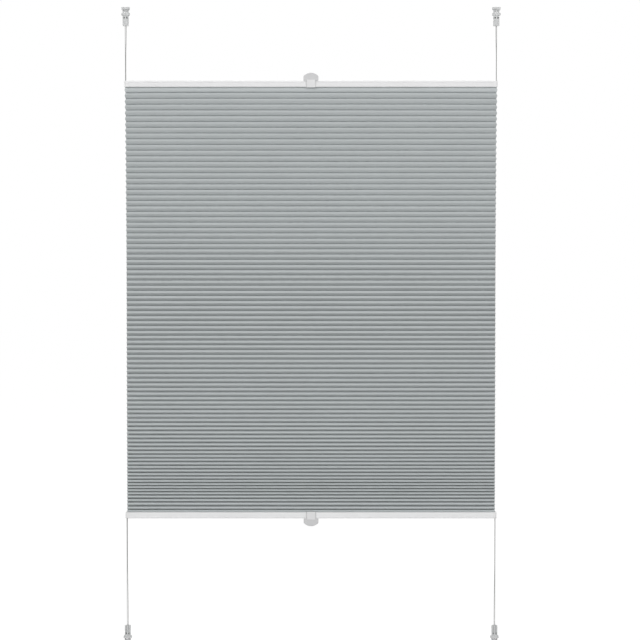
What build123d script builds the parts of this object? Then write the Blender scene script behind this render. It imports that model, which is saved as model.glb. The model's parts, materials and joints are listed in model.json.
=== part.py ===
"""Honeycomb pleated blind that slides on tensioned cords between four shoes, in millimetres.

The origin lies midway between the two top shoes, on their seats. X runs along the rails, the room
is on the -Y side, and Z is up.
"""
import os
from math import sqrt

from build123d import *

# Overall sizes; the drop and the rise place the rails from the seats of the shoes
span_height = 1371.0
rail_length = 800.0
top_rail_drop = 157.3
bottom_rail_rise = 273.1

# Honeycomb cloth; the pitch shares say how much of the mean pitch the end cells have, and the line
# share how much of the change between them is even
mean_pitch = 10.15
top_pitch_share = 1.232
bottom_pitch_share = 0.645
slack_line_share = 0.375
facet_width = 7.7
bond_width = 5.6
cloth_wall = 0.4
cloth_inset = 2.0
cloth_edge_notch = 2.4
cloth_gap = 0.3

# Loop at each end of the cloth, with the strip that holds it in the rail
loop_width = 16.0
loop_gap = 0.8
loop_end_gap = 0.6
strip_share = 0.545
strip_side_gap = 0.4
strip_end_gap = 4.0

# Rail section
rail_depth = 22.0
rail_height = 13.2
rail_wall = 1.0
chamber_share = 0.55
rail_web = 0.9
rail_lip = 1.1
slot_width = 7.6
outer_corner = 2.4
inner_corner = 0.8
groove_width = 1.4
groove_depth = 0.4
groove_drop = 4.4

# End caps
cap_length = 8.0
cap_plug_length = 14.0
cap_plug_gap = 0.12
cap_corner = 0.6

# Cords, six-sided in section, and the passages that they run in
cord_diameter = 1.2
cord_sides = 6
cord_spread = 2.6
cord_inset = 2.9
passage_width = 3.4
passage_depth = 4.6
guide_height = 1.6

# Shoes, measured from the seat towards the blind
head_width = 17.4
head_depth = 12.0
head_height = 5.2
neck_width = 12.8
neck_depth = 8.0
neck_height = 7.2
window_width = 2.2
window_height = 3.0
window_spacing = 4.4
collar_width = 17.6
collar_depth = 12.0
collar_height = 4.6
body_width = 12.4
body_depth = 10.0
body_height = 22.6
shoe_corner = 1.6
screw_hole_diameter = 2.5
screw_hole_depth = 8.0
recess_width = 2.2
recess_height = 4.0
recess_depth = 3.4
recess_spacing = 6.0
recess_below_collar = 3.4
pocket_width = 4.8
pocket_depth = 12.4
saddle_depth = 9.0
saddle_diameter = 1.2

# Cord stops in the bottom shoes
stop_width = 7.4
stop_depth = 5.6
stop_height = 5.0
stop_ceiling = 7.6
stop_gap = 0.3
stop_room = 3.0

# Handles
clip_width = 22.0
clip_side_run = 2.4
clip_side_fall = 1.2
clip_wall = 1.6
clip_gap = 0.2
clip_top_reach = 6.0
clip_hook_reach = 1.2
clip_hook_wall = 1.0
clip_corner = 0.7
grip_width = 32.0
grip_height = 16.5
grip_thickness = 3.2
grip_side = 9.0
grip_edge = 0.8

# One overrun for all cuts
overrun = 1.0

# Places worked out from the sizes above
rail_half = rail_length / 2
profile_half = rail_half - cap_length
cord_x = rail_half - cord_inset
cord_y = cord_spread / 2
cord_radius = cord_diameter / 2
shoe_height = head_height + neck_height + collar_height + body_height
hollow_height = rail_height - rail_wall - rail_web - rail_lip
chamber_height = hollow_height * chamber_share
channel_height = hollow_height - chamber_height
loop_height = channel_height - 2 * loop_gap
strip_thickness = (loop_height - 2 * cloth_wall) * strip_share
top_rail_edge = -top_rail_drop
bottom_rail_edge = -span_height + bottom_rail_rise
cloth_top = top_rail_edge - rail_height - cloth_gap
cloth_bottom = bottom_rail_edge + rail_height + cloth_gap
cloth_drop = cloth_top - cloth_bottom
cell_count = round(cloth_drop / mean_pitch)
cloth_half = rail_half - cloth_inset
loop_half = profile_half - loop_end_gap


def pitch_share(index):
    """Share of the mean pitch in one cell: the weight below stretches an upper cell more than a lower one."""
    place_share = index / (cell_count - 1)
    slack_share = slack_line_share * place_share + (1 - slack_line_share) * place_share**2
    return top_pitch_share - (top_pitch_share - bottom_pitch_share) * slack_share


all_pitch_shares = sum(pitch_share(index) for index in range(cell_count))


def cell_pitch(index):
    """Height of one cell, so that all the cells fill the drop between the rails."""
    return cloth_drop * pitch_share(index) / all_pitch_shares


def save(piece, label):
    """Names a finished piece and writes it to its own file."""
    piece.part.label = label
    export_step(piece.part, f"parts/{label}.step")


def cell_reach(pitch):
    """How far a cell's ridge stands out from its glued strip."""
    return sqrt(facet_width**2 - (pitch / 2) ** 2)


def cell_hole(top, pitch):
    """Corners of the hollow in one cell, in the YZ plane."""
    reach = cell_reach(pitch)
    half_pitch = pitch / 2
    ridge = bond_width / 2 + reach - cloth_wall * facet_width / half_pitch
    corner = bond_width / 2 - cloth_wall * (facet_width - reach) / half_pitch
    upper = top - cloth_wall
    lower = top - pitch + cloth_wall
    middle = top - half_pitch
    return [
        (0, -corner, upper),
        (0, corner, upper),
        (0, ridge, middle),
        (0, corner, lower),
        (0, -corner, lower),
        (0, -ridge, middle),
    ]


def honeycomb_face():
    """Section of the hanging cloth: a zigzag on both sides, with a hollow in every cell."""
    front = [(0, -bond_width / 2, cloth_top)]
    holes = []
    top = cloth_top
    for index in range(cell_count):
        pitch = cell_pitch(index)
        ridge = bond_width / 2 + cell_reach(pitch)
        front.append((0, -ridge, top - pitch / 2))
        front.append((0, -bond_width / 2, top - pitch))
        holes.append(Wire.make_polygon(cell_hole(top, pitch), close=True))
        top -= pitch
    back = [(x, -y, z) for x, y, z in reversed(front)]
    return Face(Wire.make_polygon(front + back, close=True), holes)


def make_fabric():
    """The cellular cloth with its two end loops and the cord notches in its side edges."""
    ends = ((cloth_top, 1, 0), (cloth_bottom, -1, cloth_gap))
    ridge_limit = bond_width / 2 + facet_width
    notch_x = cloth_half - cloth_edge_notch
    passage_x = cord_x - passage_width / 2
    with BuildPart() as fabric:
        extrude(honeycomb_face(), amount=cloth_half, both=True)
        for edge, outward, slack in ends:
            loop_start = edge + outward * (cloth_gap + rail_lip + slack)
            loop_middle = loop_start + outward * loop_height / 2
            with BuildSketch(Plane.YZ):
                with Locations((0, (edge + loop_start) / 2)):
                    Rectangle(bond_width, abs(loop_start - edge))
                with Locations((0, loop_middle)):
                    Rectangle(loop_width, loop_height)
                    Rectangle(loop_width - 2 * cloth_wall, loop_height - 2 * cloth_wall, mode=Mode.SUBTRACT)
            extrude(amount=loop_half, both=True)
        for side in (-1, 1):
            outline = [
                (side * cloth_half, -ridge_limit),
                (side * notch_x, -bond_width / 2),
                (side * notch_x, -passage_depth / 2),
                (side * passage_x, -passage_depth / 2),
                (side * passage_x, passage_depth / 2),
                (side * notch_x, passage_depth / 2),
                (side * notch_x, bond_width / 2),
                (side * cloth_half, ridge_limit),
                (side * (cloth_half + overrun), ridge_limit),
                (side * (cloth_half + overrun), -ridge_limit),
            ]
            with BuildSketch(Plane.XY.offset(cloth_bottom - overrun)):
                with BuildLine():
                    Polyline(*outline, close=True)
                make_face()
            extrude(amount=cloth_drop + 2 * overrun, mode=Mode.SUBTRACT)
    save(fabric, "honeycomb_fabric")


def rail_outline(edge, inward):
    """Draws the outer section of a rail, with its far corners rounded more than the cloth side."""
    with Locations((0, edge + inward * rail_height / 2)):
        Rectangle(rail_depth, rail_height)
    corners = vertices().sort_by(Axis.Y)
    far_corners = corners[2:] if inward < 0 else corners[:2]
    near_corners = corners[:2] if inward < 0 else corners[2:]
    fillet(far_corners, radius=outer_corner)
    fillet(near_corners, radius=inner_corner)


def make_rail(label, edge, inward):
    """A hollow rail with a chamber for the crossing cords and a channel for the cloth's loop."""
    inner_width = rail_depth - 2 * rail_wall
    chamber_middle = edge + inward * (rail_wall + chamber_height / 2)
    channel_middle = edge + inward * (rail_height - rail_lip - channel_height / 2)
    slot_middle = edge + inward * (rail_height - rail_lip / 2)
    groove_middle = edge + inward * groove_drop
    with BuildPart() as rail:
        with BuildSketch(Plane.YZ):
            rail_outline(edge, inward)
            with Locations((0, chamber_middle)):
                Rectangle(inner_width, chamber_height, mode=Mode.SUBTRACT)
            with Locations((0, channel_middle)):
                Rectangle(inner_width, channel_height, mode=Mode.SUBTRACT)
            with Locations((0, slot_middle)):
                Rectangle(slot_width, rail_lip, mode=Mode.SUBTRACT)
            with Locations((-rail_depth / 2, groove_middle), (rail_depth / 2, groove_middle)):
                Rectangle(2 * groove_depth, groove_width, mode=Mode.SUBTRACT)
        extrude(amount=profile_half, both=True)
    save(rail, label)


def make_cap(label, edge, inward, side):
    """An end cap with a plug in the rail's chamber, a cord passage and a guide slot for the crossing runs."""
    chamber_middle = edge + inward * (rail_wall + chamber_height / 2)
    rail_middle = edge + inward * rail_height / 2
    inner_face = side * profile_half
    plug_end = side * (profile_half - cap_plug_length)
    plug_width = rail_depth - 2 * rail_wall - 2 * cap_plug_gap
    plug_height = chamber_height - 2 * cap_plug_gap
    with BuildPart() as cap:
        with BuildSketch(Plane.YZ.offset(inner_face)):
            rail_outline(edge, inward)
        extrude(amount=side * cap_length)
        outer_face = cap.faces().sort_by(Axis.X)[-1 if side > 0 else 0]
        chamfer(outer_face.edges(), length=cap_corner)
        with BuildSketch(Plane.YZ.offset(inner_face)):
            with Locations((0, chamber_middle)):
                Rectangle(plug_width, plug_height)
        extrude(amount=-side * cap_plug_length)
        with BuildSketch(Plane.XY.offset(rail_middle)):
            with Locations((side * cord_x, 0)):
                Rectangle(passage_width, passage_depth)
        extrude(amount=rail_height / 2 + overrun, both=True, mode=Mode.SUBTRACT)
        with BuildSketch(Plane.YZ.offset(plug_end)):
            with Locations((0, chamber_middle)):
                Rectangle(passage_depth, guide_height)
        extrude(amount=side * cord_x - plug_end, mode=Mode.SUBTRACT)
    save(cap, label)


def make_cross_cords(label, edge, inward):
    """The two cord runs that cross inside a rail and keep it level."""
    chamber_middle = edge + inward * (rail_wall + chamber_height / 2)
    with BuildPart() as cords:
        with BuildSketch(Plane.YZ):
            with Locations((-cord_y, chamber_middle), (cord_y, chamber_middle)):
                RegularPolygon(cord_radius, cord_sides)
        extrude(amount=cord_x - passage_width / 2, both=True)
    save(cords, label)


def make_strip(label, seat, upward):
    """The flat strip inside an end loop of the cloth; seat is the face of the loop that it lies on."""
    width = loop_width - 2 * cloth_wall - 2 * strip_side_gap
    with BuildPart() as strip:
        with BuildSketch(Plane.YZ):
            with Locations((0, seat + upward * strip_thickness / 2)):
                Rectangle(width, strip_thickness)
        extrude(amount=loop_half - strip_end_gap, both=True)
    save(strip, label)


def make_shoe(label, x, seat, inward, holds_ends):
    """A moulded tension shoe: a flanged head on a neck, a collar, and the body that takes the cord."""
    collar_start = head_height + neck_height
    body_start = collar_start + collar_height
    levels = (
        (0, head_height, head_width, head_depth),
        (head_height, neck_height, neck_width, neck_depth),
        (collar_start, collar_height, collar_width, collar_depth),
        (body_start, body_height, body_width, body_depth),
    )
    window_middle = seat + inward * (collar_start - window_height / 2)
    recess_middle = seat + inward * (body_start + recess_below_collar + recess_height / 2)
    mouth = seat + inward * shoe_height
    with BuildPart() as shoe:
        for start, height, width, depth in levels:
            with BuildSketch(Plane((x, 0, seat + inward * start))):
                Rectangle(width, depth)
                chamfer(vertices(), length=shoe_corner)
            extrude(amount=inward * height)
        with BuildSketch(Plane((x, 0, seat))):
            Circle(screw_hole_diameter / 2)
        extrude(amount=inward * screw_hole_depth, mode=Mode.SUBTRACT)
        with BuildSketch(Plane.XZ.offset(-head_depth)):
            for step in (-1, 1):
                with Locations((x + step * window_spacing / 2, window_middle)):
                    Rectangle(window_width, window_height)
        extrude(amount=2 * head_depth, mode=Mode.SUBTRACT)
        with BuildSketch(Plane.XZ.offset(body_depth / 2 - recess_depth)):
            for step in (-1, 1):
                with Locations((x + step * recess_spacing / 2, recess_middle)):
                    Rectangle(recess_width, recess_height)
        extrude(amount=recess_depth + overrun, mode=Mode.SUBTRACT)
        with BuildSketch(Plane((x, 0, mouth))):
            Rectangle(pocket_width, passage_depth)
        extrude(amount=-inward * pocket_depth, mode=Mode.SUBTRACT)
        if holds_ends:
            room_height = stop_height + stop_room
            room_middle = mouth - inward * (stop_ceiling + room_height / 2)
            room_front = stop_depth / 2 + stop_gap
            with BuildSketch(Plane.XZ.offset(room_front)):
                with Locations((x, room_middle)):
                    Rectangle(stop_width + 2 * stop_gap, room_height)
            extrude(amount=-(room_front + body_depth), mode=Mode.SUBTRACT)
        else:
            with BuildSketch(Plane.YZ.offset(x)):
                with Locations((0, mouth - inward * saddle_depth)):
                    Circle(saddle_diameter / 2)
            extrude(amount=pocket_width / 2, both=True)
    save(shoe, label)


def make_cord(label, x):
    """One cord, looped over the saddle of its top shoe, with both ends in the stop of the bottom shoe."""
    saddle = -shoe_height + saddle_depth
    ends = -span_height + shoe_height - stop_ceiling - stop_height
    with BuildPart() as cord:
        with BuildLine() as route:
            Line((x, -cord_y, ends), (x, -cord_y, saddle))
            ThreePointArc((x, -cord_y, saddle), (x, 0, saddle + cord_y), (x, cord_y, saddle))
            Line((x, cord_y, saddle), (x, cord_y, ends))
        with BuildSketch(Plane((x, -cord_y, ends))):
            RegularPolygon(cord_radius, cord_sides)
        sweep(path=route.wires()[0])
    save(cord, label)


def make_stop(label, x):
    """The block in a bottom shoe that grips both ends of a cord."""
    ceiling = -span_height + shoe_height - stop_ceiling
    with BuildPart() as stop:
        with BuildSketch(Plane((x, 0, ceiling))):
            Rectangle(stop_width, stop_depth)
            with Locations((0, -cord_y), (0, cord_y)):
                RegularPolygon(cord_radius, cord_sides, mode=Mode.SUBTRACT)
        extrude(amount=-stop_height)
    save(stop, label)


def make_handle(label, edge, inward):
    """A clip that snaps over the front of a rail, with a round thumb grip that stands clear of it."""
    outward = -inward
    front = -rail_depth / 2
    near = edge + inward * rail_height
    clip_front = front - clip_gap - clip_wall
    clip_top = edge + outward * (clip_gap + clip_wall)
    hook_end = near + inward * (clip_gap + clip_hook_wall)
    clip_outline = [
        (front + clip_top_reach, edge + outward * clip_gap),
        (front - clip_gap, edge + outward * clip_gap),
        (front - clip_gap, near + inward * clip_gap),
        (front + clip_hook_reach, near + inward * clip_gap),
        (front + clip_hook_reach, hook_end),
        (clip_front, hook_end),
        (clip_front, clip_top),
        (front + clip_top_reach, clip_top),
    ]
    grip_start = edge + outward * clip_gap
    grip_tip = grip_start + outward * grip_height
    shoulder = grip_start + outward * grip_side
    with BuildPart() as handle:
        with BuildSketch(Plane.YZ):
            with BuildLine():
                Polyline(*clip_outline, close=True)
            make_face()
        extrude(amount=clip_width / 2, both=True)
        clip_face = handle.faces().sort_by(Axis.Y)[0]
        clip_sides = clip_face.edges().filter_by(Axis.Z)
        chamfer(clip_sides, length=clip_side_run, length2=clip_side_fall, reference=clip_face)
        clip_face = handle.faces().sort_by(Axis.Y)[0]
        fillet(clip_face.edges().filter_by(Axis.X), radius=clip_corner)
        with BuildSketch(Plane.XZ.offset(-clip_front)):
            with BuildLine():
                Line((-grip_width / 2, shoulder), (-grip_width / 2, grip_start))
                Line((-grip_width / 2, grip_start), (grip_width / 2, grip_start))
                Line((grip_width / 2, grip_start), (grip_width / 2, shoulder))
                ThreePointArc((grip_width / 2, shoulder), (0, grip_tip), (-grip_width / 2, shoulder))
            make_face()
        extrude(amount=-grip_thickness)
        rims = handle.edges().filter_by(GeomType.CIRCLE).filter_by(lambda edge: edge.length > grip_width)
        chamfer(rims.sort_by(Axis.Y)[0], length=grip_edge)
    save(handle, label)


os.makedirs("parts", exist_ok=True)

make_fabric()
rails = (("top", top_rail_edge, -1), ("bottom", bottom_rail_edge, 1))
sides = (("left", -1), ("right", 1))
for rail_name, edge, inward in rails:
    make_rail(f"{rail_name}_rail", edge, inward)
    make_cross_cords(f"{rail_name}_cross_cords", edge, inward)
    make_handle(f"{rail_name}_handle", edge, inward)
    for side_name, side in sides:
        make_cap(f"{rail_name}_{side_name}_cap", edge, inward, side)

top_loop_floor = cloth_top + cloth_gap + rail_lip + cloth_wall
bottom_loop_ceiling = cloth_bottom - 2 * cloth_gap - rail_lip - cloth_wall
make_strip("top_fabric_strip", top_loop_floor, 1)
make_strip("bottom_fabric_strip", bottom_loop_ceiling - cloth_gap, -1)

for side_name, side in sides:
    make_shoe(f"top_{side_name}_shoe", side * cord_x, 0, -1, False)
    make_shoe(f"bottom_{side_name}_shoe", side * cord_x, -span_height, 1, True)
    make_cord(f"{side_name}_cord", side * cord_x)
    make_stop(f"{side_name}_cord_stop", side * cord_x)
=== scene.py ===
"""Looks of a honeycomb pleated blind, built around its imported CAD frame, in metres."""
import json
import logging
import math
from dataclasses import dataclass
from enum import Enum
from typing import Any, Sequence

import bmesh
import bpy
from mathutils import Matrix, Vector

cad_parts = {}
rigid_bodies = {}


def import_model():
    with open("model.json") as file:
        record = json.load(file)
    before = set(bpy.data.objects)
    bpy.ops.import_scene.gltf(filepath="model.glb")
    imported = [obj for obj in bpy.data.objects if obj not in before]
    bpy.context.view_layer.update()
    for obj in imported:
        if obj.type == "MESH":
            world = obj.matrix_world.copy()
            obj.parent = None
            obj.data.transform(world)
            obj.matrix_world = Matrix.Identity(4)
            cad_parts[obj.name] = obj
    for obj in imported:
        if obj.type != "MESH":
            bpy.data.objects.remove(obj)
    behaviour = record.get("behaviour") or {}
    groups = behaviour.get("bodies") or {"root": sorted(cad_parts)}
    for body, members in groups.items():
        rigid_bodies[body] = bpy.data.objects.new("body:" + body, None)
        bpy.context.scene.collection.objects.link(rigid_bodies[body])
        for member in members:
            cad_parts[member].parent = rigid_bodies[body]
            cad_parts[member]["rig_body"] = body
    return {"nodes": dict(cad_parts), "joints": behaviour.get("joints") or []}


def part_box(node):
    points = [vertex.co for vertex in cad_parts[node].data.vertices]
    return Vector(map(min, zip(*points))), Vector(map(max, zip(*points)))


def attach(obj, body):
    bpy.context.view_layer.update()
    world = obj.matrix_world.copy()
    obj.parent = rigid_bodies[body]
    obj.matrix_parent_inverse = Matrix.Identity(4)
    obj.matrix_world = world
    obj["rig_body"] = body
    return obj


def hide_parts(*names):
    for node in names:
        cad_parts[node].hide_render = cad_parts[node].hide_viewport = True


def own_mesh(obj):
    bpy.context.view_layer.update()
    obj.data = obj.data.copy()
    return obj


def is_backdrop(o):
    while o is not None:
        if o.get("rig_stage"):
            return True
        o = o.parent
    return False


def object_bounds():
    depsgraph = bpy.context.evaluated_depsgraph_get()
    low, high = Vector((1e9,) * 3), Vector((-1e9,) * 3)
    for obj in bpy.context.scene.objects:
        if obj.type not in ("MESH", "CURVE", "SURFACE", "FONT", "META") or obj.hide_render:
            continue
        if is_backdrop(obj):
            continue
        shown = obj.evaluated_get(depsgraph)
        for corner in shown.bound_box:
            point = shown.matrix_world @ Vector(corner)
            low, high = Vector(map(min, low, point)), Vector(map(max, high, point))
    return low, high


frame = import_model()

LOG = logging.getLogger("pleated_blind")
MM = 0.001
Triple = tuple[float, float, float]
Colour = Triple
Given = dict[Any, Any] | None


class Room(Enum):
    """Where a stretch of light path may see the white surroundings."""

    CAMERA = "Is Camera Ray"
    GLOSSY = "Is Glossy Ray"
    TRANSMISSION = "Is Transmission Ray"


class Band(Enum):
    """Which part of a cell a row of faces belongs to."""

    OUTER = "cloth"
    INNER = "lining"
    RIM = "rim"


class Sock:
    """A node socket with Python arithmetic; each operator adds one Math node."""

    def __init__(self, tree: "Tree", socket: bpy.types.NodeSocket) -> None:
        """Keeps the tree and the socket."""
        self.tree = tree
        self.socket = socket

    def __add__(self, other: Any) -> "Sock":
        """Sum."""
        return self.tree.maths("ADD", self, other)

    __radd__ = __add__

    def __sub__(self, other: Any) -> "Sock":
        """Difference."""
        return self.tree.maths("SUBTRACT", self, other)

    def __rsub__(self, other: Any) -> "Sock":
        """Difference from a number on the left."""
        return self.tree.maths("SUBTRACT", other, self)

    def __mul__(self, other: Any) -> "Sock":
        """Product."""
        return self.tree.maths("MULTIPLY", self, other)

    __rmul__ = __mul__

    def __truediv__(self, other: Any) -> "Sock":
        """Quotient."""
        return self.tree.maths("DIVIDE", self, other)

    def __neg__(self) -> "Sock":
        """Opposite number."""
        return self.tree.maths("MULTIPLY", self, -1.0)

    def __abs__(self) -> "Sock":
        """Size without the sign."""
        return self.tree.maths("ABSOLUTE", self)


class Tree:
    """A node tree that adds nodes and links from Python values."""

    def __init__(self, nodes: bpy.types.NodeTree) -> None:
        """Keeps the node tree."""
        self.nodes = nodes

    @classmethod
    def blank(cls, owner: bpy.types.ID) -> "Tree":
        """Starts an empty tree on a material or a world."""
        owner.use_nodes = True
        owner.node_tree.nodes.clear()
        return cls(owner.node_tree)

    def node(self, kind: str, settings: Given = None, sockets: Given = None) -> bpy.types.Node:
        """Adds one node.

        Args:
            kind: Blender's type name of the node.
            settings: Properties set before the sockets.
            sockets: Input name or number to a number, a colour or a Sock to link.

        Returns:
            The new node.
        """
        made = self.nodes.nodes.new(kind)
        for name, value in (settings or {}).items():
            setattr(made, name, value)
        for name, value in (sockets or {}).items():
            if isinstance(value, Sock):
                self.nodes.links.new(value.socket, made.inputs[name])
            elif value is not None:
                made.inputs[name].default_value = value
        return made

    def out(self, node: bpy.types.Node, name: int | str = 0) -> Sock:
        """Wraps one output of a node."""
        return Sock(self, node.outputs[name])

    def get(self, kind: str, settings: Given = None, sockets: Given = None, name: int | str = 0) -> Sock:
        """Adds a node and wraps one of its outputs.

        Args:
            kind: Blender's type name of the node.
            settings: Properties, as for node().
            sockets: Inputs, as for node().
            name: Name or number of the output.

        Returns:
            The output.
        """
        return self.out(self.node(kind, settings, sockets), name)

    def maths(self, operation: str, *values: Any) -> Sock:
        """Adds a Math node on numbers and sockets."""
        return self.get("ShaderNodeMath", {"operation": operation}, dict(enumerate(values)))

    def mix(self, factor: Sock, first: Any, second: Any) -> Sock:
        """Mixes two colours by a factor."""
        ends = [(*c, 1.0) if isinstance(c, tuple) else c for c in (first, second)]
        return self.get("ShaderNodeMix", {"data_type": "RGBA"}, {0: factor, 6: ends[0], 7: ends[1]}, 2)

    def noise(self, place: Sock, scale: float, detail: float = 2.0, roughness: float = 0.5) -> Sock:
        """Noise from 0 to 1 at a place."""
        values = {"Vector": place, "Scale": scale, "Detail": detail, "Roughness": roughness}
        return self.get("ShaderNodeTexNoise", None, values)

    def axes(self, place: Sock) -> list[Sock]:
        """The three coordinates of a place."""
        parts = self.node("ShaderNodeSeparateXYZ", None, {0: place})
        return [self.out(parts, name) for name in "XYZ"]

    def stretched(self, place: Sock, scale: Triple) -> Sock:
        """A place scaled by its own factor along each axis."""
        return self.get("ShaderNodeMapping", None, {"Vector": place, "Scale": scale})

    def clamped(self, value: Sock) -> Sock:
        """A value kept between 0 and 1."""
        return self.maths("MINIMUM", self.maths("MAXIMUM", value, 0.0), 1.0)

    def band(self, value: Sock, middle: float, half: float, soft: float) -> Sock:
        """One in a band around a middle value, with edges that fall to zero over a soft stretch."""
        return self.clamped((half - abs(value - middle)) / soft + 0.5)

    def bell(self, value: Sock, middle: float, width: float) -> Sock:
        """A bell curve that is one at a middle value."""
        off = (value - middle) / width
        return self.maths("EXPONENT", -(off * off))

    def bump(self, height: Sock, strength: float, distance: float) -> Sock:
        """A normal that follows a height."""
        inputs = {"Strength": strength, "Distance": distance, "Height": height}
        return self.get("ShaderNodeBump", None, inputs)


@dataclass(frozen=True)
class Finish:
    """A finish that becomes one Principled material."""

    name: str
    colour: Colour
    roughness: float

    def place(self, tree: Tree) -> Sock:
        """Object coordinates, where every piece has its own place in its mesh."""
        return tree.get("ShaderNodeTexCoord", None, None, "Object")

    def scaled(self, share: float) -> Colour:
        """The finish's colour made lighter or darker by a share."""
        return tuple(min(1.0, share * c) for c in self.colour)

    def shade(self, tree: Tree) -> dict[str, Any]:
        """Gives the shader's sockets.

        Args:
            tree: The material's node tree.

        Returns:
            Socket name to a constant or a link.
        """
        return {"Base Color": (*self.colour, 1.0), "Roughness": self.roughness}

    def material(self) -> bpy.types.Material:
        """Builds the material."""
        made = bpy.data.materials.new(self.name)
        tree = Tree.blank(made)
        shader = tree.get("ShaderNodeBsdfPrincipled", None, self.shade(tree))
        tree.node("ShaderNodeOutputMaterial", None, {"Surface": shader})
        return made


@dataclass(frozen=True)
class PowderCoat(Finish):
    """White powder coat with a fine orange peel, and painted light that makes the lower rail a little whiter.
    """

    middle: float = 0.0
    lower_painted_light_share: float = 1.07
    dull_share: float = 0.955
    patch: float = 14.0
    peel: float = 1600.0
    peel_strength: float = 0.18
    peel_depth: float = 0.06 * MM
    rougher: float = 0.12
    specular: float = 0.45

    def shade(self, tree: Tree) -> dict[str, Any]:
        """Gives the shader's sockets, in the terms of Finish.shade()."""
        place = self.place(tree)
        peel = tree.noise(place, self.peel, 2.0)
        patches = tree.noise(place, self.patch, 3.0)
        # painted light: below the middle the coat and its duller patches are lighter, where the lamps light
        # the lower rail less
        below = tree.maths("LESS_THAN", tree.axes(place)[2], self.middle)
        coat = tree.mix(below, self.colour, self.scaled(self.lower_painted_light_share))
        dull = tree.mix(below, self.scaled(self.dull_share), self.colour)
        return {
            "Base Color": tree.mix(patches, dull, coat),
            "Roughness": self.roughness + self.rougher * peel,
            "Normal": tree.bump(peel, self.peel_strength, self.peel_depth),
            "Specular IOR Level": self.specular,
        }


@dataclass(frozen=True)
class Moulding(Finish):
    """Injection-moulded plastic, a little cloudy, with flow marks and fine handling marks."""

    cloud: float = 0.08
    clear: float = 0.0
    refraction: float = 1.46
    flow: Triple = (120.0, 120.0, 40.0)
    flow_share: float = 0.45
    fine: float = 2600.0
    fine_strength: float = 0.1
    fine_depth: float = 0.04 * MM
    rougher: float = 0.14

    def body(self, tree: Tree, place: Sock) -> Any:
        """Colour of the plastic at a place, a constant or a link."""
        return self.colour

    def shade(self, tree: Tree) -> dict[str, Any]:
        """Gives the shader's sockets, in the terms of Finish.shade()."""
        place = self.place(tree)
        flow = tree.noise(tree.stretched(place, self.flow), 1.0, 3.0)
        fine = tree.noise(place, self.fine, 2.0)
        low = tuple(max(0.0, c - self.cloud) for c in self.colour)
        return {
            "Base Color": tree.mix(self.flow_share * flow, self.body(tree, place), low),
            "Roughness": self.roughness + self.rougher * fine,
            "Normal": tree.bump(fine, self.fine_strength, self.fine_depth),
            "Transmission Weight": self.clear,
            "IOR": self.refraction,
        }


@dataclass(frozen=True)
class GripMoulding(Moulding):
    """The handles' plastic, with painted shade that makes the thick grip and the clip's sloped sides greyer
    than its thin front.
    """

    # grey of the painted shade on the grip and on the clip's sides
    grip: Colour = (0.61, 0.61, 0.615)
    middle: float = 0.0
    reach: float = 0.0
    half_front: float = 8.2 * MM
    blend: float = 0.4 * MM

    def body(self, tree: Tree, place: Sock) -> Any:
        """Colour of the plastic, in the terms of Moulding.body()."""
        x, _, z = tree.axes(place)
        outward = abs(z - self.middle) - self.reach
        aside = abs(x) - self.half_front
        # painted shade: grey beyond the clip's front, on the grip and the clip's sides
        painted_shade_mask = tree.clamped(tree.maths("MAXIMUM", outward, aside) / self.blend)
        return tree.mix(painted_shade_mask, self.colour, self.grip)


@dataclass(frozen=True)
class ShoeMoulding(Moulding):
    """The shoes' cloudy plastic: the cord's strands show through, painted shade darkens the two recesses and
    a painted highlight a spot.
    """

    # grey for the cord's strands seen through the plastic and for the painted shade in the hollows
    strand_and_painted_shade_grey: Colour = (0.34, 0.35, 0.35)
    # colour of a painted highlight on the front of the shoe
    painted_highlight_colour: Colour = (0.95, 0.95, 0.95)
    half_span: float = 0.0
    middle: float = 0.0
    mouth: float = 0.0
    soft: float = 0.8 * MM

    STRAND = (2.2 * MM, 0.85 * MM, 7.5 * MM, 7.5 * MM, 0.7)
    # painted shade: the recess, the neck and the slots in the head
    PAINTED_SHADE_HOLLOWS = (
        (3.0 * MM, 1.3 * MM, 17.2 * MM, 2.1 * MM, 1.0),
        (3.6 * MM, 1.5 * MM, 31.6 * MM, 2.0 * MM, 0.55),
        (3.2 * MM, 1.0 * MM, 37.4 * MM, 1.0 * MM, 0.55),
    )
    # painted highlight: a light spot on the lit face of the neck
    PAINTED_HIGHLIGHT_SPOT = (2.2 * MM, 1.1 * MM, 28.2 * MM, 1.3 * MM, 0.8)

    def mark(self, tree: Tree, aside: Sock, rise: Sock, row: Sequence[float]) -> Sock:
        """One soft-edged mark on both sides of a shoe's middle.

        Args:
            tree: The material's node tree.
            aside: Distance from the shoe's middle.
            rise: Distance from the shoe's mouth.
            row: Place aside and half width, place along and half length, and strength.

        Returns:
            The mark's strength at a place.
        """
        across = tree.band(aside, row[0], row[1], self.soft)
        return across * tree.band(rise, row[2], row[3], self.soft) * row[4]

    def body(self, tree: Tree, place: Sock) -> Any:
        """Colour of the plastic, in the terms of Moulding.body()."""
        x, y, z = tree.axes(place)
        aside = abs(abs(x) - self.half_span)
        rise = abs(z - self.middle) - self.mouth
        front = tree.maths("LESS_THAN", y, 0.0)
        lower = tree.maths("LESS_THAN", z, self.middle)
        strands_and_painted_shade = self.mark(tree, aside, rise, self.STRAND) * lower
        # painted shade in the hollows, on the front only
        for row in self.PAINTED_SHADE_HOLLOWS:
            strands_and_painted_shade = tree.maths("MAXIMUM", strands_and_painted_shade, self.mark(tree, aside, rise, row) * front)
        shaded = tree.mix(strands_and_painted_shade, self.colour, self.strand_and_painted_shade_grey)
        return tree.mix(self.mark(tree, aside, rise, self.PAINTED_HIGHLIGHT_SPOT) * front, shaded, self.painted_highlight_colour)


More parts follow.
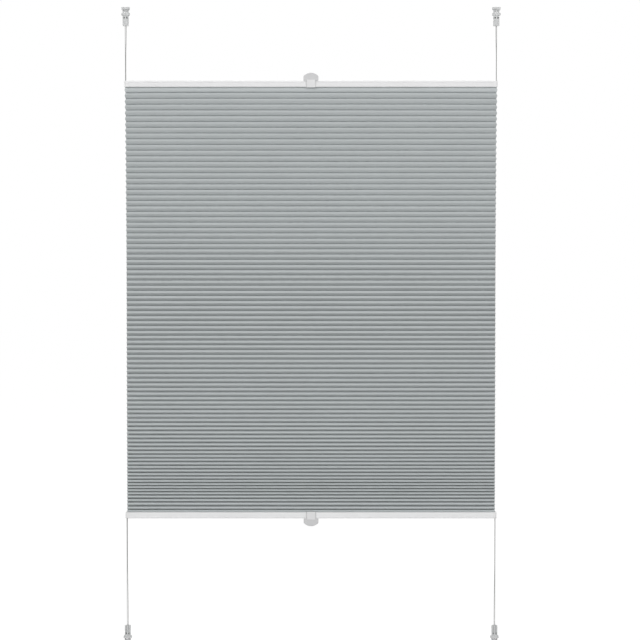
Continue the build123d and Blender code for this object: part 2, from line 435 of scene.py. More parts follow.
@dataclass(frozen=True)
class CapMoulding(Moulding):
    """The end caps' plastic, with a faint line of painted shade where the cord's passage lies behind the thin
    wall.
    """

    passage_place: float = 397.4 * MM
    passage_half_width: float = 0.8 * MM
    passage_shade_share: float = 0.84
    soft: float = 0.5 * MM

    def body(self, tree: Tree, place: Sock) -> Any:
        """Colour of the plastic, in the terms of Moulding.body()."""
        # painted shade: a faint darker line over the cord's passage
        line = tree.band(abs(tree.axes(place)[0]), self.passage_place, self.passage_half_width, self.soft)
        return tree.mix(line, self.colour, self.scaled(self.passage_shade_share))


@dataclass(frozen=True)
class NonWoven(Finish):
    """Matt non-woven cloth: short fibres in all directions, pressed lightly into streaks along the pleats."""

    fibre: float = 1500.0
    streak: float = 420.0
    streak_stretch: Triple = (0.22, 1.0, 1.0)
    patch: float = 9.0
    colour_shares: Triple = (0.6, 0.15, 0.25)
    dark_share: float = 0.9
    light_share: float = 1.1
    nap_shares: tuple[float, float] = (0.8, 0.2)
    nap_strength: float = 0.3
    nap_depth: float = 0.16 * MM
    rougher: float = 0.1
    specular: float = 0.25
    sheen: float = 0.12
    sheen_roughness: float = 0.6

    def shade(self, tree: Tree) -> dict[str, Any]:
        """Gives the shader's sockets, in the terms of Finish.shade()."""
        place = tree.get("ShaderNodeAttribute", {"attribute_name": Honeycomb.FLAT}, None, "Vector")
        fibre = tree.noise(place, self.fibre, 4.0, 0.65)
        streak = tree.noise(tree.stretched(place, self.streak_stretch), self.streak, 3.0, 0.6)
        patch = tree.noise(place, self.patch, 2.0)
        of_fibre, of_streak, of_patch = self.colour_shares
        shade = of_fibre * fibre + of_streak * streak + of_patch * patch
        # painted light and shade: the colour is scaled by a factor stored on the cloth's points
        painted_light = tree.get("ShaderNodeAttribute", {"attribute_name": Honeycomb.PAINTED_LIGHT}, None, "Fac")
        even = tree.mix(shade, self.scaled(self.dark_share), self.scaled(self.light_share))
        nap = self.nap_shares[0] * fibre + self.nap_shares[1] * streak
        cloth_with_painted_light = tree.get("ShaderNodeVectorMath", {"operation": "SCALE"}, {0: even, "Scale": painted_light})
        return {
            "Base Color": cloth_with_painted_light,
            "Roughness": self.roughness + self.rougher * fibre,
            "Normal": tree.bump(nap, self.nap_strength, self.nap_depth),
            "Specular IOR Level": self.specular,
            "Sheen Weight": self.sheen,
            "Sheen Roughness": self.sheen_roughness,
        }


@dataclass(frozen=True)
class Foil(Finish):
    """Crinkled metal foil that lines the cells."""

    crinkle: float = 260.0
    finer: float = 2.1
    dull_share: float = 0.8
    metallic: float = 0.4
    fold_share: float = 0.7
    fold_strength: float = 0.8
    fold_depth: float = 0.9 * MM
    rougher: float = 0.15

    def shade(self, tree: Tree) -> dict[str, Any]:
        """Gives the shader's sockets, in the terms of Finish.shade()."""
        place = self.place(tree)
        folds = tree.get("ShaderNodeTexVoronoi", {"feature": "F1"}, {"Vector": place, "Scale": self.crinkle})
        soft = tree.noise(place, self.finer * self.crinkle, 3.0)
        creased = self.fold_share * folds + (1.0 - self.fold_share) * soft
        return {
            "Base Color": tree.mix(soft, self.scaled(self.dull_share), self.colour),
            "Metallic": self.metallic,
            "Roughness": self.roughness + self.rougher * soft,
            "Normal": tree.bump(creased, self.fold_strength, self.fold_depth),
        }


@dataclass(frozen=True)
class Braid(Finish):
    """Fine braided cord: two sets of strands that cross along its length."""

    pitch: float = 1.6 * MM
    slant: float = 2.6
    dark_share: float = 0.8
    weave_strength: float = 0.4
    weave_depth: float = 0.1 * MM

    def shade(self, tree: Tree) -> dict[str, Any]:
        """Gives the shader's sockets, in the terms of Finish.shade()."""
        x, y, z = tree.axes(self.place(tree))
        turn = 2.0 * math.pi / self.pitch
        along = z * turn
        slant = self.slant * turn
        round_it = x * slant + y * slant
        weave = tree.maths("SINE", along + round_it) * tree.maths("SINE", along - round_it)
        height = 0.5 + 0.5 * weave
        return {
            # painted shade: darker where the weave lies low, between the strands
            "Base Color": tree.mix(height, self.scaled(self.dark_share), self.colour),
            "Roughness": self.roughness,
            "Normal": tree.bump(height, self.weave_strength, self.weave_depth),
        }


class Finishes:
    """The blind's materials, made once."""

    def __init__(self) -> None:
        """Builds every material."""
        high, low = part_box("top_rail")[1].z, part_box("bottom_rail")[0].z
        middle = (high + low) / 2
        self.rail = PowderCoat("white_powder_coat", (0.86, 0.86, 0.865), 0.36, middle=middle).material()
        self.cap = CapMoulding("white_moulding", (0.88, 0.88, 0.88), 0.38, cloud=0.03).material()
        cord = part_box("right_cord")
        mouths = (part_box("top_right_shoe")[0].z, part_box("bottom_right_shoe")[1].z)
        self.shoe = ShoeMoulding(
            "cloudy_shoe_moulding",
            (0.75, 0.76, 0.76),
            0.24,
            cloud=0.1,
            clear=0.2,
            half_span=(cord[0].x + cord[1].x) / 2,
            middle=sum(mouths) / 2,
            mouth=(mouths[0] - mouths[1]) / 2,
        ).material()
        self.handle = GripMoulding(
            "cloudy_handle_moulding",
            (0.81, 0.81, 0.815),
            0.26,
            cloud=0.05,
            middle=middle,
            reach=(high - low) / 2 + Handles.CLIP_RISE,
        ).material()
        self.cloth = NonWoven("grey_non_woven", (0.455, 0.482, 0.487), 0.82).material()
        self.foil = Foil("crinkled_foil", (0.82, 0.83, 0.84), 0.34).material()
        self.cord = Braid("braided_cord", (0.45, 0.45, 0.445), 0.7).material()
        self.inner = Moulding("inner_moulding", (0.72, 0.72, 0.71), 0.45, cloud=0.04).material()


def new_object(name: str, mesh: bpy.types.ID) -> bpy.types.Object:
    """Links a new object at the origin.

    Args:
        name: Name of the object.
        mesh: Its mesh, curve, lamp or camera.

    Returns:
        The object.
    """
    made = bpy.data.objects.new(name, mesh)
    bpy.context.scene.collection.objects.link(made)
    return made


def settled(piece: bpy.types.Object) -> bpy.types.Object:
    """Turns a piece's modifiers into a plain mesh.

    Args:
        piece: The object with its modifiers.

    Returns:
        The same object with the evaluated mesh and no modifiers.
    """
    graph = bpy.context.evaluated_depsgraph_get()
    mesh = bpy.data.meshes.new_from_object(piece.evaluated_get(graph), depsgraph=graph)
    piece.modifiers.clear()
    piece.data = mesh
    mesh.name = piece.name
    return piece


@dataclass
class Softener:
    """Rounds the edges of a copy of a CAD node, as moulding and coating do."""

    width: float
    steps: int = 2
    angle: float = math.radians(35.0)
    merge: float = 1e-6
    flat: float = math.radians(0.6)

    def copy(self, node: str, name: str, material: bpy.types.Material) -> bpy.types.Object:
        """Makes the rounded copy and lets it stand for the node.

        Args:
            node: The CAD node.
            name: Name of the new piece.
            material: Its finish.

        Returns:
            The new piece, riding on the node's body.
        """
        source = frame["nodes"][node]
        mesh = bpy.data.meshes.new(name)
        shape = bmesh.new()
        shape.from_mesh(source.data)
        bmesh.ops.remove_doubles(shape, verts=shape.verts, dist=self.merge)
        bmesh.ops.dissolve_limit(shape, angle_limit=self.flat, verts=shape.verts, edges=shape.edges)
        for face in shape.faces:
            face.smooth = True
            face.material_index = 0
        shape.to_mesh(mesh)
        shape.free()
        mesh.materials.clear()
        mesh.materials.append(material)
        piece = new_object(name, mesh)
        bevel = piece.modifiers.new("rounded", "BEVEL")
        bevel.width = self.width
        bevel.segments = self.steps
        bevel.limit_method = "ANGLE"
        bevel.angle_limit = self.angle
        bevel.use_clamp_overlap = True
        weighted = piece.modifiers.new("even", "WEIGHTED_NORMAL")
        weighted.keep_sharp = True
        settled(piece)
        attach(piece, source["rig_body"])
        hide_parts(node)
        return piece


@dataclass
class Studio:
    """Camera at the photograph's angle, plain soft light, white surroundings and a pale floor."""

    aim: Vector = Vector((0.0193, 0.0, -0.6701))
    distance: float = 4.0
    pitch: float = math.radians(1.9)
    frame_width: float = 640 * 2.1545 * MM
    sensor: float = 36.0
    ambient: float = 0.40
    floor_drop: float = 0.55
    floor_size: float = 60.0
    floor_white: float = 0.85
    floor_seen: float = 0.26
    floor_glow: float = 0.895
    far: float = 100.0

    LAMPS = (
        ("key_box", (-1.1, -4.0, 3.2), (3.8, 2.6), 152.0),
        ("fill_box", (1.9, -2.6, 0.4), (1.6, 2.0), 12.0),
        ("back_box", (0.6, 2.8, 1.4), (2.4, 1.6), 30.0),
    )

    def camera(self) -> None:
        """Puts the camera in front of the blind."""
        data = bpy.data.cameras.new("photo_camera")
        data.sensor_width = self.sensor
        data.lens = self.sensor * self.distance / self.frame_width
        data.clip_end = self.far
        eye = new_object("photo_camera", data)
        back = Vector((0.0, -math.cos(self.pitch), math.sin(self.pitch)))
        eye.location = self.aim + back * self.distance
        eye.rotation_euler = (-back).to_track_quat("-Z", "Y").to_euler()
        bpy.context.scene.camera = eye

    def lamp(self, name: str, place: Triple, size: tuple[float, float], watts: float) -> None:
        """Adds one soft box that looks at the blind.

        Args:
            name: Name of the lamp.
            place: Where it stands.
            size: Its width and height.
            watts: Its power.
        """
        data = bpy.data.lights.new(name, "AREA")
        data.shape = "RECTANGLE"
        data.size, data.size_y = size
        data.energy = watts
        box = new_object(name, data)
        box.location = place
        box.rotation_euler = (self.aim - box.location).to_track_quat("-Z", "Y").to_euler()

    @staticmethod
    def seen(tree: Tree) -> Sock:
        """One where a camera, mirror or clear-plastic ray looks, and zero elsewhere."""
        path = tree.node("ShaderNodeLightPath")
        rays = [tree.out(path, room.value) for room in Room]
        return tree.maths("MINIMUM", rays[0] + rays[1] + rays[2], 1.0)

    def surroundings(self) -> None:
        """White to look at, and an even soft light for the object."""
        world = bpy.data.worlds.new("white_room")
        bpy.context.scene.world = world
        tree = Tree.blank(world)
        strength = self.ambient + (1.0 - self.ambient) * self.seen(tree)
        light = tree.get("ShaderNodeBackground", None, {"Color": (1.0, 1.0, 1.0, 1.0), "Strength": strength})
        tree.node("ShaderNodeOutputWorld", None, {"Surface": light})

    def floor(self, low: float) -> None:
        """A pale floor below the blind that keeps its shadow."""
        mesh = bpy.data.meshes.new("pale_floor")
        half = self.floor_size / 2
        corners = [(-half, -half), (half, -half), (half, half), (-half, half)]
        mesh.from_pydata([(x, y, low - self.floor_drop) for x, y in corners], [], [(0, 1, 2, 3)])
        made = bpy.data.materials.new("pale_floor")
        tree = Tree.blank(made)
        seen = self.seen(tree)
        pale = tree.mix(seen, (self.floor_white,) * 3, (self.floor_seen,) * 3)
        cover = tree.get("ShaderNodeBsdfDiffuse", None, {"Color": pale})
        glow = tree.get("ShaderNodeEmission", None, {"Strength": self.floor_glow * seen})
        both = tree.get("ShaderNodeAddShader", None, {0: cover, 1: glow})
        tree.node("ShaderNodeOutputMaterial", None, {"Surface": both})
        mesh.materials.append(made)
        new_object("pale_floor", mesh)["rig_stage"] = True

    def build(self, low: float) -> None:
        """Sets up the whole studio.

        Args:
            low: Height of the blind's lowest point.
        """
        self.camera()
        self.surroundings()
        self.floor(low)
        for row in self.LAMPS:
            self.lamp(*row)
        bpy.context.scene.view_settings.view_transform = "Standard"
        LOG.info("studio: camera at %.2f m", self.distance)


@dataclass
class Cords:
    """The two tension cords, each looped over a saddle in its top shoe."""

    depth: float = 1.3 * MM
    fan: float = 1.05 * MM
    close: float = 0.45 * MM
    outward: float = 0.5 * MM
    inward: float = 1.0 * MM
    crown_fan: float = 1.75 * MM
    crown_depth: float = 1.65 * MM
    crown_height: float = 10.2 * MM
    crown_corners: int = 4
    low_fan: float = 130.0 * MM
    high_fan: float = 60.0 * MM
    open_share: float = 0.35
    lead: float = 6.0 * MM
    turn: float = 3.0 * MM
    diameter: float = 1.2 * MM
    length: float = 2.63

    def __post_init__(self) -> None:
        """Finds the cords' ends and the mouths of the shoes in the frame."""
        low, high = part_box("right_cord")
        self.half_span = (low.x + high.x) / 2
        self.ends = low.z
        self.low_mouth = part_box("bottom_right_shoe")[1].z
        self.high_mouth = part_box("top_right_shoe")[0].z
        self.low_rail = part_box("bottom_rail")
        self.high_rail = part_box("top_rail")

    def route(self, side: int) -> list[Vector]:
        """The cord's control points.

        Args:
            side: -1 for the left cord, 1 for the right one.

        Returns:
            Points up one strand, over the saddle and down the other.
        """
        low_foot, low_head = (corner.z for corner in self.low_rail)
        high_foot, high_head = (corner.z for corner in self.high_rail)
        low_fan, high_fan = self.low_mouth + self.low_fan, self.high_mouth - self.high_fan
        low_open = self.low_mouth + self.open_share * self.low_fan
        high_open = self.high_mouth - self.open_share * self.high_fan
        lead, turn = self.lead, self.turn
        runs = (
            (self.fan, 0.0, (self.ends, self.low_mouth, low_open)),
            (self.close, self.outward, (low_fan, low_fan + lead, low_foot - lead, low_foot + turn)),
            (0.0, -self.inward, (low_head - turn, low_head + lead, high_foot - lead, high_foot + turn)),
            (self.close, self.outward, (high_head - turn, high_head + lead, high_fan - lead, high_fan)),
            (self.fan, 0.0, (high_open, self.high_mouth, self.high_mouth + self.diameter)),
        )
        levels = [(spread, shift, z) for spread, shift, heights in runs for z in heights]
        places = [(side * (self.half_span + shift), spread, z) for spread, shift, z in levels]
        up = [Vector((x - spread, -self.depth, z)) for x, spread, z in places]
        down = [Vector((x + spread, self.depth, z)) for x, spread, z in reversed(places)]
        return up + self.crown(side) + down

    def crown(self, side: int) -> list[Vector]:
        """The control points of the half turn over the saddle.

        Args:
            side: -1 for the left cord, 1 for the right one.

        Returns:
            The foot of the half turn, the corners round it and its other foot.
        """
        across = Vector((self.crown_fan, self.crown_depth, 0.0))
        radius = across.length
        middle = Vector((side * self.half_span, 0.0, self.high_mouth + self.crown_height - radius))
        step = math.pi / self.crown_corners
        angles = [step * (corner + 0.5) for corner in range(self.crown_corners)]
        reach = 1.0 / math.cos(step / 2)
        turn = [
            middle - across * reach * math.cos(angle) + Vector((0.0, 0.0, radius * reach * math.sin(angle)))
            for angle in angles
        ]
        lead = Vector((0.0, 0.0, radius))
        return [middle - across - lead, *turn, middle + across - lead]

    def build(self, finishes: Finishes) -> None:
        """Args:
            finishes: The blind's materials.
        """
        for side, word in ((-1, "left"), (1, "right")):
            points = self.route(side)
            curve = bpy.data.curves.new(f"{word}_tension_cord", "CURVE")
            curve.dimensions = "3D"
            curve.bevel_depth = self.diameter / 2
            curve.bevel_resolution = 3
            curve.use_fill_caps = True
            spline = curve.splines.new("NURBS")
            spline.points.add(len(points) - 1)
            for point, place in zip(spline.points, points):
                point.co = (*place, 1.0)
            spline.order_u = 3
            spline.use_endpoint_u = True
            spline.resolution_u = 8
            curve.materials.append(finishes.cord)
            cord = new_object(f"{word}_tension_cord", curve)
            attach(cord, "fixings")
            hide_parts(f"{word}_cord")
            LOG.info("%s: looped over the top shoe", cord.name)


@dataclass(frozen=True)
class PleatPaintedLight:
    """Painted light and shade on the cloth round a pleat: lighter on the ridges and darker in the folds, by
    height.
    """

    brow: float = 0.16
    ridge: float = 0.5
    ledge: float = 0.58
    near: float = 0.01
    packed: tuple[float, float] = (0.77, 0.4)
    # painted light on the first cells, where the top rail's shadow falls
    first: float = 0.26
    first_fall: float = 2.5
    upper: tuple[float, float] = (0.08, 0.3)
    lower_rise: float = 3.0
    high: tuple[float, float, float, float] = (0.17, 0.05, 0.08, 0.045)
    high_end: float = 0.36
    high_fall: float = 10.0
    fold_rise: float = 11.0
    middle: tuple[float, float, float, float] = (0.07, 0.1, 0.33, 0.06)
    middle_place: float = 0.48
    middle_spread: float = 0.14
    centre: float = 0.12

    def factor(self, tree: Tree, place: Sock, level: Sock, down: Sock, reach_share: Sock) -> Sock:
        """Builds the painted light and shade.

        Args:
            tree: The tree.
            place: Share of the cloth's cells above a point.
            level: A point's height in its cell, from 0 at the top to 1.
            down: Number of cells above a point.
            reach_share: How far a point stands out from the bond, as a share of the ridge.

        Returns:
            A factor for the cloth's colour.
        """
        marks = (self.brow, self.ridge, self.ledge)
        brow, ridge, ledge = (tree.maths("COMPARE", level, mark, self.near) for mark in marks)
        central = place * (1.0 - place)
        turned = 2.0 * level - 1.0
        packed = place * place * (self.packed[0] * reach_share - self.packed[1])
        first = self.first * tree.clamped(self.first_fall * (1.0 - down))
        upper = -(self.upper[0] + self.upper[1] * central) * turned
        lower = tree.clamped(self.lower_rise * (level - self.ridge))
        lit = self.high[0] * lower + self.high[1] * ledge + self.high[2] * brow - self.high[3]
        high = lit * tree.clamped(self.high_fall * (self.high_end - place))
        fold = tree.clamped(self.fold_rise * level * (1.0 - level) * turned)
        dim = self.middle[0] * fold + self.middle[1] * ridge + self.middle[2] * ledge - self.middle[3]
        middle = dim * tree.bell(place, self.middle_place, self.middle_spread)
        return 1.0 + packed + first + upper + high - middle - self.centre * central


@dataclass
class Honeycomb:
    """The cellular cloth: one cell made as a mesh, stacked and shaped by a Geometry Nodes tree."""

    cells: int = 90
    columns: int = 28
    top_share: float = 1.232
    bottom_share: float = 0.645
    even_slack: float = 0.375
    facet: float = 7.7 * MM
    bond: float = 5.6 * MM
    wall: float = 0.4 * MM
    gap: float = 0.3 * MM
    half_width: float = 397.8 * MM
    taper: float = 0.55 * MM
    flare: float = 2.3 * MM
    flare_fall: float = 7.0
    waist: float = 0.5 * MM
    waist_place: float = 0.38
    waist_spread: float = 0.13
    notch: float = 2.2 * MM
    cord_notch: float = 2.6 * MM
    bow: float = 1.2 * MM
    bow_rise: float = 2.5
    bow_fade: float = 2.6
    hold_power: float = 4.0
    hold_fall: float = 0.25
    waver: float = 0.1 * MM
    waver_scale: Triple = (2.2, 0.45, 5.0)
    press: float = 0.85
    press_fall: float = 6.0
    most_reach: float = 9.7 * MM
    belly_fade: float = 0.7
    lining_draw: tuple[float, float] = (0.5, 0.7)
    lining_shrink: float = 0.1
    lining_offset: float = 3.0
    side_offset: float = 0.05
    weld: float = 0.02 * MM
    smooth_angle: float = 0.75
    clearance: float = 0.05 * MM
    tongue_gap: float = 0.1 * MM
    loop_width: float = 16.0 * MM
    loop_height: float = 2.99 * MM
    loop_half: float = 391.4 * MM
    rail_lip: float = 1.1 * MM

    FLAT = "flat_place"
    PAINTED_LIGHT = "painted_light"
    UNEVEN = (
        (0.4, 0.2, 2.7 * MM), (0.55, 0.04, 1.1 * MM), (0.77, 0.1, -1.3 * MM),
        (0.94, 0.033, 2.8 * MM), (0.984, 0.0085, -1.95 * MM),
    )
    POINT = ("side", "level", "belly", "lining", "across")
    LID = "lid"
    LIDS = {(0.0, 0.0): 1, (1.0, 1.0): 2}
    LINED = "lined"
    SIZES = (
        "top_pitch", "bottom_pitch", "facet", "bond", "even_slack", "wall", "top", "half_width", "taper",
        "flare", "waist", "notch", "cord_notch", "bow", "waver", "belly_fade", "press", "most_reach",
    )
    RING = (
        (-1, 0.5, 0.0), (-1, 0.16, 0.38), (-1, 0.05, 0.3), (-1, 0.0, 0.0), (0, 0.0, 0.0),
        (1, 0.0, 0.0), (1, 0.05, 0.3), (1, 0.16, 0.38), (1, 0.5, 0.0), (1, 0.58, 0.09),
        (1, 0.84, 0.38), (1, 0.95, 0.3), (1, 1.0, 0.0), (0, 1.0, 0.0), (-1, 1.0, 0.0),
        (-1, 0.95, 0.3), (-1, 0.84, 0.38), (-1, 0.58, 0.09),
    )

    def __post_init__(self) -> None:
        """Finds the cloth's ends between the rails and the cells' pitches."""
        self.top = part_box("top_rail")[0].z - self.gap
        self.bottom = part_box("bottom_rail")[1].z + self.gap
        last = self.cells - 1
        places = [i / last for i in range(self.cells)]
        spread = self.top_share - self.bottom_share
        even, curved = self.even_slack, 1.0 - self.even_slack
        shares = sum(self.top_share - spread * (even * p + curved * p * p) for p in places)
        mean = (self.top - self.bottom) / shares
        self.top_pitch = self.top_share * mean
        self.bottom_pitch = self.bottom_share * mean

    def unit_cell(self) -> bpy.types.Mesh:
        """One cell as a closed tube with a lining, each point with its place in the cell.

        Returns:
            A mesh whose points hold side, level, belly, lining and across.
        """
        values: list[tuple[float, ...]] = []
        points: list[Triple] = []
        pitch = self.top_pitch
        for lining in (0, 1):
            for column in range(self.columns + 1):
                across = 2.0 * column / self.columns - 1.0
                for side, level, belly in self.RING:
                    shrink = 1.0 - self.lining_shrink * lining
                    reach = 1.0 - abs(2.0 * level - 1.0) + belly
                    y = shrink * side * (self.bond / 2 + reach * self.facet / 2)
                    z = -pitch / 2 - shrink * (level - 0.5) * pitch
                    points.append((across * self.half_width, y, z))
                    values.append((side, level, belly, lining, across))
        count = len(self.RING)
        rings = [range(start, start + count) for start in range(0, len(points), count)]
        outer, inner = rings[: self.columns + 1], rings[self.columns + 1 :]
        bands = [(Band.OUTER, *pair) for pair in zip(outer, outer[1:])]
        bands += [(Band.INNER, *pair) for pair in zip(inner, inner[1:])]
        bands += [(Band.RIM, outer[end], inner[end]) for end in (0, -1)]
        faces, lids, lined = [], [], []
        for kind, one, other in bands:
            for k in range(count):
                n = (k + 1) % count
                faces.append((one[k], one[n], other[n], other[k]))
                levels = (self.RING[k][1], self.RING[n][1])
                lids.append(self.LIDS.get(levels, 0) if kind is Band.OUTER else 0)
                lined.append(kind is Band.INNER)
        mesh = bpy.data.meshes.new("cell")
        mesh.from_pydata(points, [], faces)
        for name, column in zip(self.POINT, zip(*values)):
            mesh.attributes.new(name, "FLOAT", "POINT").data.foreach_set("value", column)
        mesh.attributes.new(self.LID, "FLOAT", "FACE").data.foreach_set("value", lids)
        mesh.attributes.new(self.LINED, "BOOLEAN", "FACE").data.foreach_set("value", lined)
        shape = bmesh.new()
        shape.from_mesh(mesh)
        bmesh.ops.recalc_face_normals(shape, faces=shape.faces)
        shape.to_mesh(mesh)
        shape.free()
        return mesh

    def inputs(self, finishes: Finishes) -> dict[str, tuple[str, Any]]:
        """Lists the tree's named inputs.

        Args:
            finishes: The blind's materials.

        Returns:
            Input name to its socket type and value.
        """
        return {
            "cells": ("NodeSocketInt", self.cells),
            **{name: ("NodeSocketFloat", getattr(self, name)) for name in self.SIZES},
            "cloth": ("NodeSocketMaterial", finishes.cloth),
            "lining": ("NodeSocketMaterial", finishes.foil),
        }

    def stack_tree(self, inputs: dict[str, tuple[str, Any]]) -> bpy.types.NodeTree:
        """Builds the tree that stacks the cells.

        Args:
            inputs: The named inputs with their socket types.

        Returns:
            The Geometry Nodes tree.
        """
        group = bpy.data.node_groups.new("honeycomb_stack", "GeometryNodeTree")
        group.interface.new_socket("Geometry", in_out="INPUT", socket_type="NodeSocketGeometry")
        for name, (kind, _) in inputs.items():
            group.interface.new_socket(name, in_out="INPUT", socket_type=kind)
        group.interface.new_socket("Geometry", in_out="OUTPUT", socket_type="NodeSocketGeometry")
        tree = Tree(group)
        given = tree.node("NodeGroupInput")
        size = {name: tree.out(given, name) for name in inputs}

        line = tree.get("GeometryNodeMeshLine", None, {"Count": size["cells"], "Offset": (0.0, 0.0, 0.0)})
        index = tree.get("GeometryNodeInputIndex")
        line = self.stored(tree, line, "cell", index, "FLOAT")
        copies = {"Points": line, "Instance": tree.out(given, 0)}
        stack = tree.get("GeometryNodeInstanceOnPoints", None, copies)
        stack = tree.get("GeometryNodeRealizeInstances", None, {0: stack})

        cell = self.named(tree, "cell")
        lid = self.named(tree, self.LID)
        first = tree.maths("COMPARE", cell, 0.0, 0.5)
        final = tree.maths("COMPARE", cell, size["cells"] - 1.0, 0.5)
        inner_top = tree.maths("COMPARE", lid, 1.0, 0.1) * (1.0 - first)
        inner_low = tree.maths("COMPARE", lid, 2.0, 0.1) * (1.0 - final)
        inner = {"Geometry": stack, "Selection": inner_top + inner_low}
        stack = tree.get("GeometryNodeDeleteGeometry", {"domain": "FACE"}, inner)
        stack = self.placed(tree, stack, size, cell)
        stack = tree.get("GeometryNodeMergeByDistance", None, {"Geometry": stack, "Distance": self.weld})
        angle = tree.get("GeometryNodeInputMeshEdgeAngle")
        smooth = tree.maths("LESS_THAN", angle, self.smooth_angle)
        for domain, choice in (("FACE", True), ("EDGE", smooth)):
            shading = {"Geometry": stack, "Shade Smooth": choice}
            stack = tree.get("GeometryNodeSetShadeSmooth", {"domain": domain}, shading)
        stack = tree.get("GeometryNodeSetMaterial", None, {"Geometry": stack, "Material": size["cloth"]})
        lined = self.named(tree, self.LINED, "BOOLEAN")
        lining = {"Geometry": stack, "Selection": lined, "Material": size["lining"]}
        stack = tree.get("GeometryNodeSetMaterial", None, lining)
        tree.node("NodeGroupOutput", None, {0: stack})
        return group

    @staticmethod
    def named(tree: Tree, name: str, kind: str = "FLOAT") -> Sock:
        """Reads a named attribute."""
        return tree.get("GeometryNodeInputNamedAttribute", {"data_type": kind}, {"Name": name})

    @staticmethod
    def stored(tree: Tree, shape: Sock, name: str, value: Sock, kind: str) -> Sock:
        """Stores a named attribute on points."""
        settings = {"data_type": kind, "domain": "POINT"}
        values = {"Geometry": shape, "Name": name, "Value": value}
        return tree.get("GeometryNodeStoreNamedAttribute", settings, values)

    def placed(self, tree: Tree, stack: Sock, size: dict[str, Sock], cell: Sock) -> Sock:
        """Moves every point to its place in the hanging cloth.

        Args:
            tree: The tree.
            stack: The realized cells.
            size: The named inputs.
            cell: Number of a point's cell, from the top.

        Returns:
            The shaped cloth.
        """
        side, level, belly, lining, across = (self.named(tree, name) for name in self.POINT)
        last = size["cells"] - 1.0
        place = cell / last
        down = cell + level
        near_top = tree.maths("EXPONENT", -self.press_fall * down)
        near_end = tree.maths("EXPONENT", self.press_fall * (down - size["cells"]))
        pressed = size["press"] * (near_top + near_end)
        straight = 1.0 - abs(2.0 * level - 1.0)
        reach_share = straight + belly * (1.0 - size["belly_fade"] * place) + pressed
        slack = size["top_pitch"] - size["bottom_pitch"]
        even = size["even_slack"]
        curved = 1.0 - even
        pitch = size["top_pitch"] - slack * (even * place + curved * place * place)
        before = cell * (cell - 1.0)
        index_sum = 0.5 * before / last
        square_sum = before * (2.0 * cell - 1.0) / (6.0 * last * last)
        above = cell * size["top_pitch"] - slack * (even * index_sum + curved * square_sum)
        half = 0.5 * pitch
        reach = tree.maths("SQRT", size["facet"] * size["facet"] - half * half)

        rise = 1.0 - tree.maths("EXPONENT", -self.bow_rise * down)
        down_share = down / size["cells"]
        fade = tree.maths("POWER", 1.0 - down_share, self.bow_fade)
        aside = tree.maths("POWER", abs(across), self.hold_power)
        held = aside * tree.maths("EXPONENT", -self.hold_fall * down)
        lift = size["bow"] * (1.0 - held) * rise * fade
        for centre, half_share, height in self.UNEVEN:
            lift = lift + height * tree.bell(down_share, centre, half_share)
        inward = size["wall"] * lining
        z = size["top"] - above - pitch * level - inward * (1.0 - 2.0 * level) + lift

        sway_axes = dict(enumerate(k * v for k, v in zip(self.waver_scale, (across, cell, side))))
        sway_place = tree.get("ShaderNodeCombineXYZ", None, sway_axes)
        sway = (tree.noise(sway_place, 1.0, 2.0) - 0.5) * size["waver"] * reach_share
        drawn = inward * (self.lining_draw[0] + self.lining_draw[1] * reach_share)
        outward = 0.5 * size["bond"] + reach * reach_share - drawn + sway
        y = side * tree.maths("MINIMUM", outward, size["most_reach"])

        bare = 1.0 - abs(side)
        inset = size["notch"] * (1.0 - straight) + bare * size["cord_notch"]
        flare = size["flare"] * tree.maths("EXPONENT", -self.flare_fall * down_share)
        waist = size["waist"] * tree.bell(down_share, self.waist_place, self.waist_spread)
        x = across * (size["half_width"] - size["taper"] + flare - waist - inset)

        where = tree.get("ShaderNodeCombineXYZ", None, {0: x, 1: y, 2: z})
        cut = 2.0 * size["facet"] * (down + self.lining_offset * lining)
        flat = tree.get("ShaderNodeCombineXYZ", None, {0: x, 1: cut, 2: self.side_offset * side})
        stack = self.stored(tree, stack, self.FLAT, flat, "FLOAT_VECTOR")
        # painted light and shade round each pleat, stored for the cloth's material
        painted_light = PleatPaintedLight().factor(tree, place, level, down, reach_share)
        stack = self.stored(tree, stack, self.PAINTED_LIGHT, painted_light, "FLOAT")
        return tree.get("GeometryNodeSetPosition", None, {"Geometry": stack, "Position": where})

    @staticmethod
    def bridge(shape: bmesh.types.BMesh, first: Sequence[Any], second: Sequence[Any]) -> None:
        """Joins two rings of points with a band of faces."""
        for k in range(len(first)):
            n = (k + 1) % len(first)
            shape.faces.new((first[k], first[n], second[n], second[k]))

    def hem(self, name: str, edge: float, outward: int, body: str, finishes: Finishes) -> bpy.types.Object:
        """The end of the cloth inside a rail: a tongue through the slot and a loop behind the lips.

        Args:
            name: Name of the piece.
            edge: Height of the cloth's end.
            outward: 1 for the top end, -1 for the bottom end.
            body: The rail's body.
            finishes: The blind's materials.

        Returns:
            The new piece.
        """
        neck = outward * (self.gap + self.rail_lip + self.clearance)
        low, high = edge + outward * self.clearance, edge + neck
        far = high + outward * self.loop_height
        half = self.loop_width / 2
        tongue = self.bond / 2 - self.tongue_gap
        wall = outward * self.wall
        sections = [(tongue, low, high), (half, high, far), (half - self.wall, high + wall, far - wall)]
        shape = bmesh.new()
        rings = []
        for depth, near, end in sections:
            corners = [(-depth, near), (depth, near), (depth, end), (-depth, end)]
            sides = (-self.loop_half, self.loop_half)
            pair = [[shape.verts.new((x, *corner)) for corner in corners] for x in sides]
            self.bridge(shape, *pair)
            rings.append(pair)
        for number in (0, 1):
            self.bridge(shape, rings[1][number], rings[2][number])
            shape.faces.new(rings[0][number])
        bmesh.ops.recalc_face_normals(shape, faces=shape.faces)
        mesh = bpy.data.meshes.new(name)
        shape.to_mesh(mesh)
        shape.free()
        places = mesh.attributes.new(self.FLAT, "FLOAT_VECTOR", "POINT")
        for row, vertex in zip(places.data, mesh.vertices):
            row.vector = vertex.co
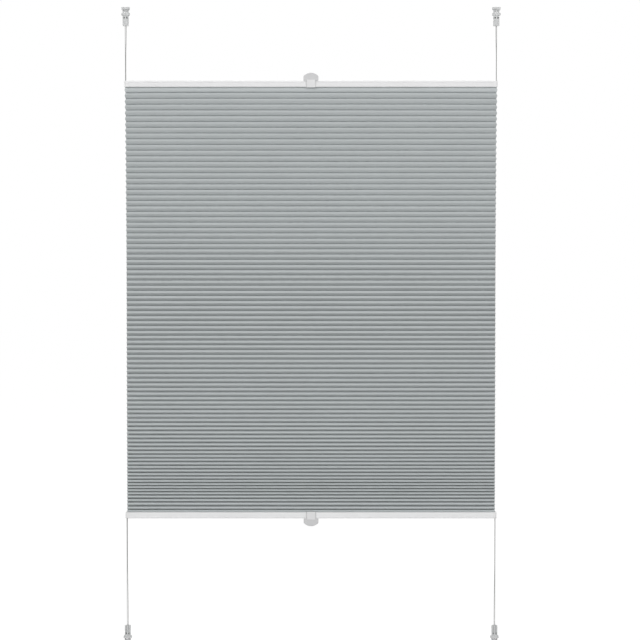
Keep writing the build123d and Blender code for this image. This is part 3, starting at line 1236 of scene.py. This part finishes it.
        # no painted light or shade on the hem
        painted_light_values = mesh.attributes.new(self.PAINTED_LIGHT, "FLOAT", "POINT")
        painted_light_values.data.foreach_set("value", [1.0] * len(mesh.vertices))
        mesh.materials.append(finishes.cloth)
        piece = new_object(name, mesh)
        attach(piece, body)
        return piece

    def build(self, finishes: Finishes) -> None:
        """Args:
            finishes: The blind's materials.
        """
        cloth = new_object("honeycomb_cloth", self.unit_cell())
        inputs = self.inputs(finishes)
        group = self.stack_tree(inputs)
        modifier = cloth.modifiers.new("stack", "NODES")
        modifier.node_group = group
        for item in group.interface.items_tree:
            if item.in_out == "INPUT" and item.name in inputs:
                modifier[item.identifier] = inputs[item.name][1]
        settled(cloth)
        top_hem = self.hem("top_hem", self.top, 1, "top_rail", finishes)
        bottom_hem = self.hem("bottom_hem", self.bottom, -1, "bottom_rail", finishes)
        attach(cloth, "top_rail")
        travel = next(j for j in frame["joints"] if j["name"] == "bottom_rail_slide")["range_m"][1]
        1.0 - travel / (self.top - self.bottom)
        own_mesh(cloth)
        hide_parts("honeycomb_fabric")
        LOG.info("%s: %d faces", cloth.name, len(cloth.data.polygons))


@dataclass
class Rails:
    """The two rails with their end caps and what lies inside them."""

    rail_edge: float = 0.18 * MM
    cap_edge: float = 0.3 * MM

    def build(self, finishes: Finishes) -> None:
        """Rounds and dresses the rails.

        Args:
            finishes: The blind's materials.
        """
        for level in ("top", "bottom"):
            rail = Softener(self.rail_edge).copy(f"{level}_rail", f"{level}_rail_profile", finishes.rail)
            for side in ("left", "right"):
                node = f"{level}_{side}_cap"
                cap = Softener(self.cap_edge).copy(node, f"{node}_moulding", finishes.cap)
            dress(f"{level}_cross_cords", finishes.cord)
            dress(f"{level}_fabric_strip", finishes.inner)
            LOG.info("%s: profile and two caps", rail.name)


@dataclass
class Shoes:
    """The four tension shoes and the cord stops in the lower two."""

    edge: float = 0.35 * MM

    def build(self, finishes: Finishes) -> None:
        """Rounds and dresses the shoes.

        Args:
            finishes: The blind's materials.
        """
        for level in ("top", "bottom"):
            for side in ("left", "right"):
                node = f"{level}_{side}_shoe"
                shoe = Softener(self.edge).copy(node, f"{node}_moulding", finishes.shoe)
                LOG.info("%s: rounded", shoe.name)
        for side in ("left", "right"):
            dress(f"{side}_cord_stop", finishes.inner)


@dataclass
class Handles:
    """The clip-on handles, with a paler clip and a grip greyed by painted shade."""

    edge: float = 0.3 * MM

    CLIP_RISE = 1.8 * MM

    def build(self, finishes: Finishes) -> None:
        """Rounds and dresses the handles.

        Args:
            finishes: The blind's materials.
        """
        for level in ("top", "bottom"):
            node = f"{level}_handle"
            handle = Softener(self.edge).copy(node, f"{node}_moulding", finishes.handle)
            LOG.info("%s: clip and grip", handle.name)


def dress(node: str, material: bpy.types.Material) -> None:
    """Gives a CAD node that stays a better material.

    Args:
        node: The CAD node.
        material: Its finish.
    """
    mesh = frame["nodes"][node].data
    mesh.materials.clear()
    mesh.materials.append(material)


def main() -> None:
    """Builds the blind and its studio."""
    logging.basicConfig(level=logging.INFO, format="%(name)s: %(message)s")
    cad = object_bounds()
    finishes = Finishes()
    Studio().build(cad[0].z)
    Cords().build(finishes)
    Honeycomb().build(finishes)
    Rails().build(finishes)
    Shoes().build(finishes)
    Handles().build(finishes)


if __name__ == "__main__":
    main()
